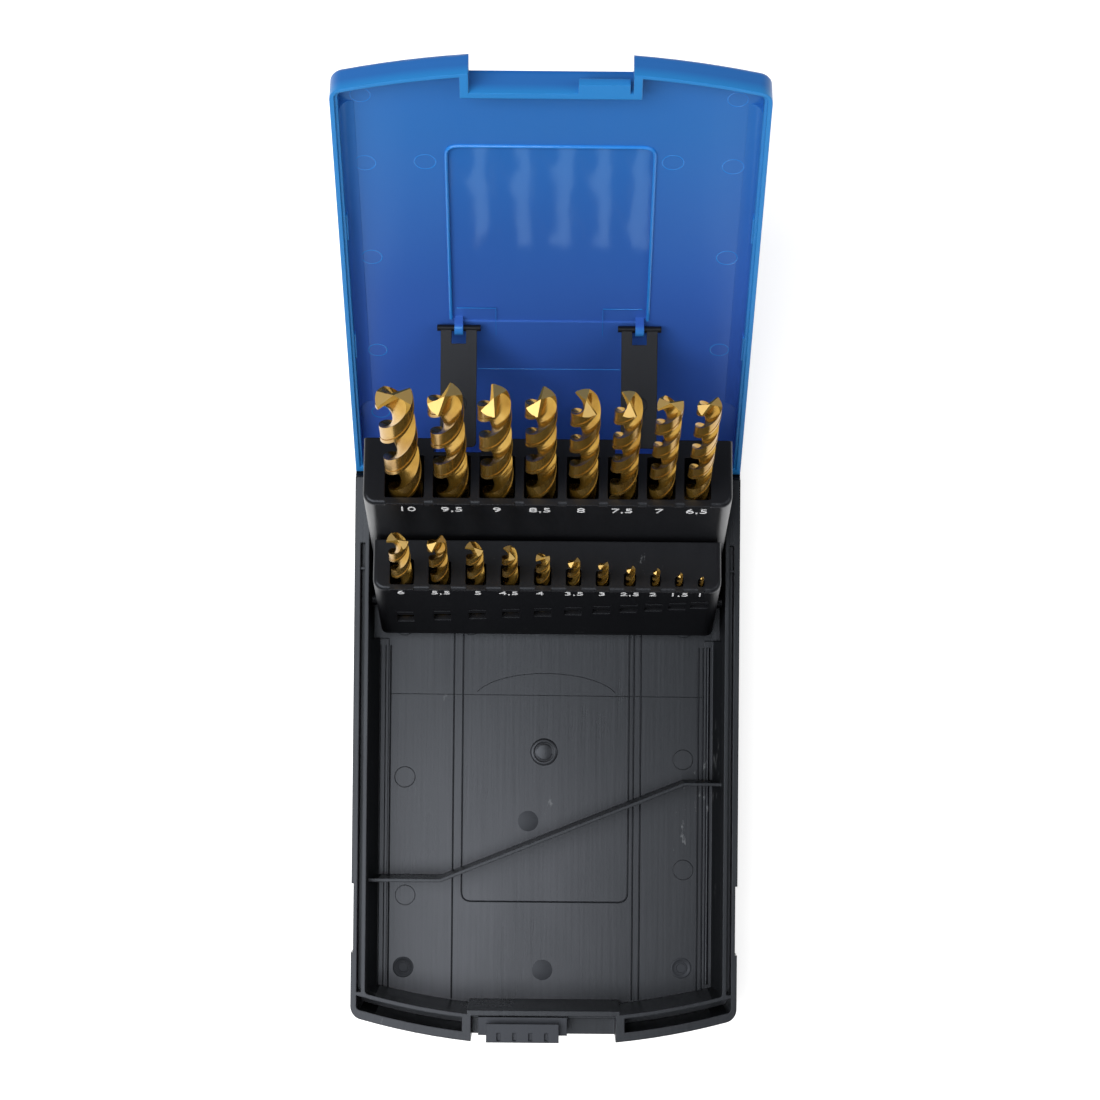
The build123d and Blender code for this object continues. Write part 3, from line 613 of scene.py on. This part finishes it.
drill_steel = coated_steel("drill_steel")
print("drills stand along", [round(v, 3) for v in drill_line])

# %% [markdown]
# ## Dress the solids
#
# A solid whose shape is right stays and only gets its finish. Each comes in with one
# material slot, so its finish is assigned there, and nothing of its mesh is touched.

# %% Finishes on the solids
finish_of = {
    "base_tray": tray_plastic,
    "lid": lid_plastic,
    "upper_bit_holder": holder_plastic,
    "lower_bit_holder": holder_plastic,
    "strap_left": strap_plastic,
    "strap_right": strap_plastic,
    "latch_slider": latch_plastic,
}
for name, solid in nodes.items():
    wanted = finish_of.get(name, drill_steel)
    for place in solid.material_slots:
        place.material = wanted
print("dressed:", len(nodes))

# %% [markdown]
# ## Pieces from paths and points
#
# Most of what is left is small and repeats: raised mould lines, ejector rings, beads. Each
# kind is one Geometry Nodes tree that grows a section along edges, or sets a mark on every
# point. The seeds are drawn flat, in millimetres of the face they lie on, and the grown mesh
# is then carried to that face by its frame. Modelling every line by hand would give the
# same result, but a change of width would mean doing them all again.

# %% Kit for grown pieces
def start_tree(name, sizes):
    """A geometry tree with a finish and named number inputs, with its two group nodes."""
    tree = bpy.data.node_groups.new(name, "GeometryNodeTree")
    tree.interface.new_socket("Geometry", in_out="INPUT", socket_type="NodeSocketGeometry")
    for label, value in sizes.items():
        socket = tree.interface.new_socket(label, in_out="INPUT", socket_type="NodeSocketFloat")
        socket.default_value = value
    tree.interface.new_socket("Finish", in_out="INPUT", socket_type="NodeSocketMaterial")
    tree.interface.new_socket("Geometry", in_out="OUTPUT", socket_type="NodeSocketGeometry")
    return tree, add_node(tree, "NodeGroupInput").outputs, add_node(tree, "NodeGroupOutput")


def end_tree(tree, source, finish, out):
    """Realises instances and sets the finish, which every tree here ends with."""
    real = add_node(tree, "GeometryNodeRealizeInstances", {0: source})
    painted = add_node(
        tree, "GeometryNodeSetMaterial", {"Geometry": real.outputs[0], "Material": finish}
    )
    tree.links.new(painted.outputs[0], out.inputs[0])


def keep_piece(name, mesh, placing, body, slot, finish=None):
    """A finished piece: its place goes into its mesh, in metres, and it rides on its body."""
    mesh.transform(to_metres @ placing)
    mesh.name = name
    if finish:
        mesh.materials.clear()
        mesh.materials.append(finish)
    piece = bpy.data.objects.new(name, mesh)
    bpy.context.scene.collection.objects.link(piece)
    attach(piece, body)
    print(name, len(mesh.polygons), "faces")


def grow(name, tree, seed, values, placing, body, slot, finish):
    """Runs a tree over a seed mesh and keeps what grew as one plain piece."""
    stem = bpy.data.objects.new(name + "_seed", seed)
    bpy.context.scene.collection.objects.link(stem)
    modifier = stem.modifiers.new("grow", "NODES")
    modifier.node_group = tree
    values = {**values, "Finish": finish}
    for item in tree.interface.items_tree:
        if item.item_type == "SOCKET" and item.in_out == "INPUT" and item.name in values:
            modifier[item.identifier] = values[item.name]
    solid = stem.evaluated_get(bpy.context.evaluated_depsgraph_get())
    mesh = bpy.data.meshes.new_from_object(solid)
    bpy.data.objects.remove(stem)
    keep_piece(name, mesh, placing, body, slot)


print("kit for grown pieces ready")

# %% [markdown]
# A seed is either runs of edges, which a section is swept along, or loose points that carry
# a size. Corners of a run are rounded before it becomes a mesh.

# %% Seeds
def runs_mesh(*runs):
    """Edges only, one open chain for each run of (x, y)."""
    points, edges = [], []
    for run in runs:
        first = len(points)
        points += [(x, y, 0) for x, y in run]
        edges += [(i, i + 1) for i in range(first, len(points) - 1)]
    mesh = bpy.data.meshes.new("runs")
    mesh.from_pydata(points, edges, [])
    return mesh


def points_mesh(*places):
    """Points only, from (x, y, size), the size kept as an attribute."""
    mesh = bpy.data.meshes.new("points")
    mesh.from_pydata([(x, y, 0) for x, y, _ in places], [], [])
    sizes = mesh.attributes.new("size", "FLOAT", "POINT")
    for value, (_, _, size) in zip(sizes.data, places):
        value.value = size
    return mesh


def straight(x, start, end):
    """A run along the case at one place across it."""
    return [(x, start), (x, end)]


def softened(corners, radius, steps=5):
    """The run through these corners, with each inner corner rounded."""
    run = [corners[0]]
    for before, corner, after in zip(corners, corners[1:], corners[2:]):
        middle = Vector(corner)
        a = middle + (Vector(before) - middle).normalized() * radius
        b = middle + (Vector(after) - middle).normalized() * radius
        for step in range(steps + 1):
            t = step / steps
            point = a * (1 - t) ** 2 + middle * 2 * t * (1 - t) + b * t**2
            run.append(tuple(point))
    return run + [corners[-1]]


print("seeds ready")

# %% [markdown]
# A mould line is a low half-round. Mesh edges become curves whose normals all point out of
# the face, so a flattened circle swept along them stays flat side down; its lower half is
# sunk in the plastic.

# %% Tree for beads
def swept_round(tree, path, width, height, sides):
    """A flattened round swept along a curve, half of it above the curve's plane."""
    curve = add_node(tree, "GeometryNodeSetCurveNormal", {"Curve": path}, mode="Z_UP")
    ring = add_node(tree, "GeometryNodeCurvePrimitiveCircle", {"Resolution": sides, "Radius": 0.5})
    tall = sums(tree, "MULTIPLY", height, 2.0)
    scale = add_node(tree, "ShaderNodeCombineXYZ", {"X": tall, "Y": width, "Z": 1.0})
    section = add_node(
        tree,
        "GeometryNodeTransform",
        {"Geometry": ring.outputs["Curve"], "Scale": scale.outputs[0]},
    )
    sockets = {"Curve": curve.outputs[0], "Profile Curve": section.outputs[0]}
    return add_node(tree, "GeometryNodeCurveToMesh", {**sockets, "Fill Caps": True}).outputs[0]


def bead_tree():
    """Grows a bead along every edge."""
    tree, given, out = start_tree("bead_on_run", {"Width": 0.4, "Height": 0.15})
    curve = add_node(tree, "GeometryNodeMeshToCurve", {"Mesh": given["Geometry"]})
    bead = swept_round(tree, curve.outputs[0], given["Width"], given["Height"], sides=12)
    end_tree(tree, bead, given["Finish"], out)
    return tree


beads = bead_tree()
print("tree:", beads.name)

# %% [markdown]
# An ejector pin leaves a shallow disc with a thin witness ring. The mark is made once, one
# millimetre in radius, and set on every point at that point's own size.

# %% Tree for ejector marks
PLATE_DEPTH = 0.2


def mark_tree():
    """Sets a disc and a ring on every point, at the point's own size."""
    sizes = {"Ring width": 0.1, "Ring height": 0.06, "Disc height": 0.02}
    tree, given, out = start_tree("mark_on_points", sizes)
    path = add_node(tree, "GeometryNodeCurvePrimitiveCircle", {"Resolution": 40, "Radius": 1.0})
    ring = swept_round(
        tree, path.outputs[0], given["Ring width"], given["Ring height"], sides=8
    )
    plate = add_node(
        tree, "GeometryNodeMeshCylinder", {"Vertices": 40, "Radius": 1.0, "Depth": PLATE_DEPTH}
    )
    low = sums(tree, "SUBTRACT", given["Disc height"], PLATE_DEPTH / 2)
    shift = add_node(tree, "ShaderNodeCombineXYZ", {"Z": low})
    sunk = add_node(
        tree,
        "GeometryNodeTransform",
        {"Geometry": plate.outputs[0], "Translation": shift.outputs[0]},
    )
    both = add_node(tree, "GeometryNodeJoinGeometry")
    tree.links.new(sunk.outputs[0], both.inputs[0])
    tree.links.new(ring, both.inputs[0])
    size = add_node(tree, "GeometryNodeInputNamedAttribute", {"Name": "size"}, data_type="FLOAT")
    across = size.outputs[0]
    stretch = add_node(tree, "ShaderNodeCombineXYZ", {"X": across, "Y": across, "Z": 1.0})
    placed = add_node(
        tree,
        "GeometryNodeInstanceOnPoints",
        {"Points": given["Geometry"], "Instance": both.outputs[0], "Scale": stretch.outputs[0]},
    )
    end_tree(tree, placed.outputs[0], given["Finish"], out)
    return tree


marks = mark_tree()
print("tree:", marks.name)

# %% [markdown]
# ## The tray's floor
#
# The floor is moulded in panels: double lines run from rear to front on both sides, a
# rounded panel lies between them, and one line crosses where two inserts of the mould met.
# All are beads on the floor's own face, in millimetres from the lid hinge.

# %% Floor lines
FLOOR_Z = -30.2
REAR_END, FRONT_END = -38, -157.5
WALL_REAR, WALL_FRONT = -52, -155
floor_face = face_of(case_frame, FLOOR_Z)
on_floor = {"placing": floor_face, "body": "base_tray", "slot": "tray_plastic"}

panel_corners = [(-24.9, REAR_END), (-24.9, -128.4), (24.8, -128.4), (24.8, REAR_END)]
long_lines = [straight(x, REAR_END, FRONT_END) for x in (-27.6, 28.3, 26.2)]
wall_lines = [straight(x, WALL_REAR, WALL_FRONT) for x in (-46.6, 45.6, 46.95)]
# The lines' dark finish is painted shade, for the shade in the grooves between floor panels.
grow(
    "floor_lines",
    beads,
    runs_mesh(*long_lines, *wall_lines, softened(panel_corners, radius=3.0)),
    {"Width": 0.5, "Height": 0.25},
    finish=painted_groove_shade,
    **on_floor,
)
bends = [math.radians(a) for a in range(-70, 71, 7)]
arc = [(22 * math.sin(t), -68.6 + 8.5 * math.cos(t)) for t in bends]
grow(
    "floor_faint_lines",
    beads,
    runs_mesh([(-47, -66.5), (47, -66.9)], arc),
    {"Width": 0.36, "Height": 0.1},
    finish=tray_plastic,
    **on_floor,
)

# %% [markdown]
# Along the walls the floor steps up a little. Two thin lines run on the left step, and the
# right one has a smooth half-round.

# %% Lines at the foot of the walls
STEP_HEIGHT = 0.35
on_step = {**on_floor, "placing": face_of(case_frame, FLOOR_Z + STEP_HEIGHT)}

# The dark finish of these lines is painted shade, for the shade at the small steps.
grow(
    "foot_lines",
    beads,
    runs_mesh(*[straight(x, WALL_REAR, WALL_FRONT) for x in (-49.6, -48.1)]),
    {"Width": 0.45, "Height": 0.15},
    finish=painted_groove_shade,
    **on_step,
)
grow(
    "foot_round",
    beads,
    runs_mesh(straight(48.4, WALL_REAR, -152.5)),
    {"Width": 2.0, "Height": 0.6},
    finish=tray_plastic,
    **on_step,
)

# %% [markdown]
# Eight ejector rings mark the floor: three down each side and two behind. Each is given by
# its place and its radius.

# %% Floor ejector marks
floor_rings = [
    (-42.1, -91.4, 3.1),
    (-41.7, -126.7, 3.0),
    (-42.5, -46.0, 3.0),
    (41.1, -85.6, 3.0),
    (41.4, -118.5, 3.0),
    (41.0, -46.5, 2.6),
    (-22.5, -45.5, 3.2),
    (20.5, -45.5, 2.8),
]
grow(
    "floor_ejector_marks",
    marks,
    points_mesh(*floor_rings),
    {"Ring width": 0.045, "Ring height": 0.025, "Disc height": 0.008},
    finish=tray_plastic,
    **on_floor,
)

# %% [markdown]
# Forms that a lathe cut in the mould are turned from a profile of radius and height. Their
# faces are joined into one mesh, smooth except where two faces meet at a sharp angle.

# %% Kit for turned forms
SHARP = math.radians(35)


def turned(profile, centre, sides=48):
    """Points and faces of a lathe form from (radius, height); a radius of 0 closes it."""
    points, faces, rows = [], [], []
    for radius, height in profile:
        if radius == 0:
            rows.append([len(points)])
            points.append((*centre, height))
            continue
        rows.append(list(range(len(points), len(points) + sides)))
        for step in range(sides):
            t = 2 * math.pi * step / sides
            x, y = centre[0] + radius * math.cos(t), centre[1] + radius * math.sin(t)
            points.append((x, y, height))
    for low, high in zip(rows, rows[1:]):
        for step in range(sides):
            after = (step + 1) % sides
            if len(low) == 1:
                faces.append((low[0], high[step], high[after]))
            elif len(high) == 1:
                faces.append((low[step], high[0], low[after]))
            else:
                faces.append((low[step], high[step], high[after], low[after]))
    return points, faces


def joined_mesh(name, parts):
    """One mesh from several (points, faces) parts, normals pointing outwards."""
    form = bmesh.new()
    for points, faces in parts:
        made = [form.verts.new(point) for point in points]
        for face in faces:
            form.faces.new([made[i] for i in face])
    bmesh.ops.recalc_face_normals(form, faces=form.faces)
    for face in form.faces:
        face.smooth = True
    mesh = bpy.data.meshes.new(name)
    form.to_mesh(mesh)
    form.free()
    mesh.set_sharp_from_angle(angle=SHARP)
    return mesh


print("kit for turned forms ready")

# %% [markdown]
# A round boss with a sunk middle stands near the floor's centre, and two darker inserts lie
# ahead of it. Two small date stamps in the front corners are left as plain double rings.

# %% Floor boss, inserts and stamps
def turned_piece(name, profile, centres, finish):
    """The same turned form at several centres on the floor."""
    mesh = joined_mesh(name, [turned(profile, centre) for centre in centres])
    keep_piece(name, mesh, finish=finish, **on_floor)


boss = [(0, -0.2), (4.1, -0.2), (4.1, 0.02), (3.8, 0.26), (3.45, 0.36), (3.1, 0.33)]
boss += [(2.85, 0.1), (2.7, 0.05), (2.55, 0.06), (2.35, 0.22), (2.1, 0.27), (0, 0.27)]
disc = [(0, -0.1), (3.05, -0.1), (3.05, 0.02), (2.95, 0.05), (0, 0.05)]
stamp = [(0, -0.1), (3.1, -0.1), (3.1, 0.1), (2.9, 0.22), (2.55, 0.22), (2.3, 0.05)]
stamp += [(1.9, 0.05), (1.75, 0.2), (1.45, 0.2), (1.3, 0.05), (0, 0.05)]
turned_piece("floor_ring_boss", boss, [(-0.5, -83.6)], tray_plastic)
turned_piece("floor_dark_inserts", disc, [(-5.1, -104.3), (-0.5, -148.7)], stamp_plastic)
turned_piece("floor_plain_stamps", stamp, [(-42.1, -148.2), (41.0, -147.8)], stamp_plastic)

# %% [markdown]
# ## The slanting rib's foot
#
# A thin rib that is pulled from deep in a mould has a thickened foot. From above it shows
# as a dark line along both sides of the rib, whose dark finish is painted shade for the shade
# beside the rib. It follows the same run as the rib itself.

# %% Rib foot
rib_run = [(-51, -121.0), (-30.7, -121.0), (41.0, -92.1), (51, -92.1)]
# Its dark finish is painted shade, for the shade on both sides of the rib.
grow(
    "rib_foot",
    beads,
    runs_mesh(softened(rib_run, radius=1.5)),
    {"Width": 3.0, "Height": 0.45},
    finish=painted_groove_shade,
    **on_floor,
)

# %% [markdown]
# ## Inside the lid
#
# The lid's panel shows the inset with a polished bead on three sides, whose paler blue is a
# painted highlight, a faint line across, ejector rings, and short corner lines around the strap
# hooks. Points are (across, distance from the hinge) on the panel's inner face.

# %% Lid lines
LID_INSIDE = 6.0
on_lid = {
    "placing": face_of(lid_frame, LID_INSIDE, over=True),
    "body": "lid",
    "slot": "lid_plastic",
}

inset_corners = [(-27.2, 62), (-27.2, 133.2), (27.2, 133.2), (27.2, 62)]
# The bead's paler blue is a painted highlight.
grow(
    "lid_inset_bead",
    beads,
    runs_mesh(softened(inset_corners, radius=3.5)),
    {"Width": 1.3, "Height": 0.5},
    finish=bead_blue_painted_highlight,
    **on_lid,
)
hook_corners = [[(s * 25.6, 66.4), (s * 14.8, 66.4), (s * 14.8, 54.6)] for s in (-1, 1)]
# These lines take the paler bead blue too, a painted highlight.
grow(
    "lid_faint_lines",
    beads,
    runs_mesh([(-20, 39.3), (20, 39.3)], *hook_corners),
    {"Width": 0.28, "Height": 0.08},
    finish=bead_blue_painted_highlight,
    **on_lid,
)

# %% [markdown]
# On the lid only the thin rings of the ejector marks show, so their discs lie under the
# face, where they can't be seen.

# %% Lid ejector marks
lid_rings = [
    (-48.4, 126.1, 2.8),
    (-32.7, 126.7, 2.8),
    (31.9, 127.2, 2.8),
    (47.6, 125.8, 2.8),
    (-48.1, 87.9, 2.8),
    (47.8, 88.8, 2.8),
    (-48.0, 47.3, 2.6),
    (47.6, 48.7, 2.6),
    (-48.6, 152.1, 2.6),
    (47.6, 151.5, 2.6),
    (-48.2, 18.6, 2.6),
]
# The rings take the paler bead blue, a painted highlight.
grow(
    "lid_ejector_marks",
    marks,
    points_mesh(*lid_rings),
    {"Ring width": 0.075, "Ring height": 0.06, "Disc height": -0.05},
    finish=bead_blue_painted_highlight,
    **on_lid,
)

# %% [markdown]
# The side walls meet the panel in a wide cove, which a cutter leaves in the mould. Each is
# a concave strip that is closed behind, inside the plastic.

# %% Lid coves
WALL_INSIDE, COVE_REACH, COVE_SUNK = 53.9, 3.6, 0.3


def cove_part(side, start, end, steps=10):
    """Points and faces of the cove on one side, from start to end along the lid."""
    wall, reach = side * WALL_INSIDE, COVE_REACH
    section = []
    for step in range(steps + 1):
        t = math.pi / 2 * step / steps
        section.append((wall - side * reach * (1 - math.sin(t)), reach * (1 - math.cos(t))))
    behind = wall + side * COVE_SUNK
    section += [(behind, reach), (behind, -COVE_SUNK), (wall - side * reach, -COVE_SUNK)]
    count = len(section)
    points = [(x, y, h) for y in (start, end) for x, h in section]
    faces = [(i, (i + 1) % count, count + (i + 1) % count, count + i) for i in range(count)]
    faces += [tuple(range(count)), tuple(range(count, 2 * count))]
    return points, faces


coves = joined_mesh("lid_wall_coves", [cove_part(side, start=24, end=150) for side in (-1, 1)])
keep_piece("lid_wall_coves", coves, finish=lid_plastic, **on_lid)

# %% [markdown]
# ## Printed sizes
#
# Each holder carries the drill sizes in small white figures in front of their slots. Text
# starts as a curve; it is turned into a mesh before it is placed, so that the finished
# piece sits at the origin like every other. A comma sets off the half millimetres.

# %% Size figures
TYPE_SHARE = 0.7
THINNER, SPACED = -0.02, 1.02
INK_HALF, INK_LIFT = 0.04, 0.03


def figure_mesh(text, tall):
    """One size as a mesh around the origin, its figures this tall."""
    curve = bpy.data.curves.new("figures", "FONT")
    curve.body = text
    curve.align_x, curve.align_y = "CENTER", "CENTER"
    curve.size = tall / TYPE_SHARE
    curve.offset, curve.space_character = THINNER, SPACED
    curve.extrude = INK_HALF
    line = bpy.data.objects.new("figures", curve)
    bpy.context.scene.collection.objects.link(line)
    bpy.context.view_layer.update()
    mesh = bpy.data.meshes.new_from_object(line)
    bpy.data.objects.remove(line)
    return mesh


def size_figures(name, sizes, tall, wide, along, face, body):
    """White figures centred on the slots, standing a hair proud of a holder's front."""
    form = bmesh.new()
    for text, x in sizes:
        figures = figure_mesh(text, tall)
        place = Matrix.Translation((x, along, INK_LIFT))
        figures.transform(place @ Matrix.Diagonal((wide, 1, 1, 1)))
        form.from_mesh(figures)
        bpy.data.meshes.remove(figures)
    mesh = bpy.data.meshes.new(name)
    form.to_mesh(mesh)
    form.free()
    keep_piece(name, mesh, face, body, "holder_plastic", figure_white)


print("kit for figures ready")

# %% [markdown]
# A size is given with the place of its slot's middle across the holder. The upper figures
# are a little taller and narrower than the lower ones.

# %% Sizes on the holders
UPPER_FRONT, LOWER_FRONT = -14.0, -29.7
upper_sizes = [
    ("10", -38.86),
    ("9,5", -26.42),
    ("9", -13.98),
    ("8,5", -2.11),
    ("8", 9.2),
    ("7,5", 20.51),
    ("7", 30.7),
    ("6,5", 41.16),
]
lower_sizes = [
    ("6", -41.43),
    ("5,5", -30.07),
    ("5", -19.56),
    ("4,5", -10.77),
    ("4", -1.98),
    ("3,5", 7.66),
    ("3", 15.58),
    ("2,5", 23.51),
    ("2", 30.02),
    ("1,5", 37.37),
    ("1", 43.3),
]
upper_face = face_of(upper_frame, UPPER_FRONT, over=True)
lower_face = face_of(lower_frame, LOWER_FRONT, over=True)
size_figures(
    "size_figures_upper",
    upper_sizes,
    tall=3.9,
    wide=0.92,
    along=69.4,
    face=upper_face,
    body="upper_bit_holder",
)
size_figures(
    "size_figures_lower",
    lower_sizes,
    tall=3.3,
    wide=0.98,
    along=80.9,
    face=lower_face,
    body="lower_bit_holder",
)

# %% [markdown]
# ## Strap marks
#
# Each strap carries one ejector mark on its face, a short way down from the lid's hook.

# %% Strap marks
STRAP_TOP = 3.2
MARK_ACROSS, MARK_ALONG, MARK_RADIUS = 25.0, 39.2, 2.2
for side, name in ((-1, "strap_left"), (1, "strap_right")):
    grow(
        name + "_mark",
        marks,
        points_mesh((side * MARK_ACROSS, MARK_ALONG, MARK_RADIUS)),
        {"Ring width": 0.1, "Ring height": 0.07, "Disc height": 0.02},
        placing=face_of(strap_frame, STRAP_TOP, over=True),
        body=name,
        slot="strap_plastic",
        finish=strap_plastic,
    )
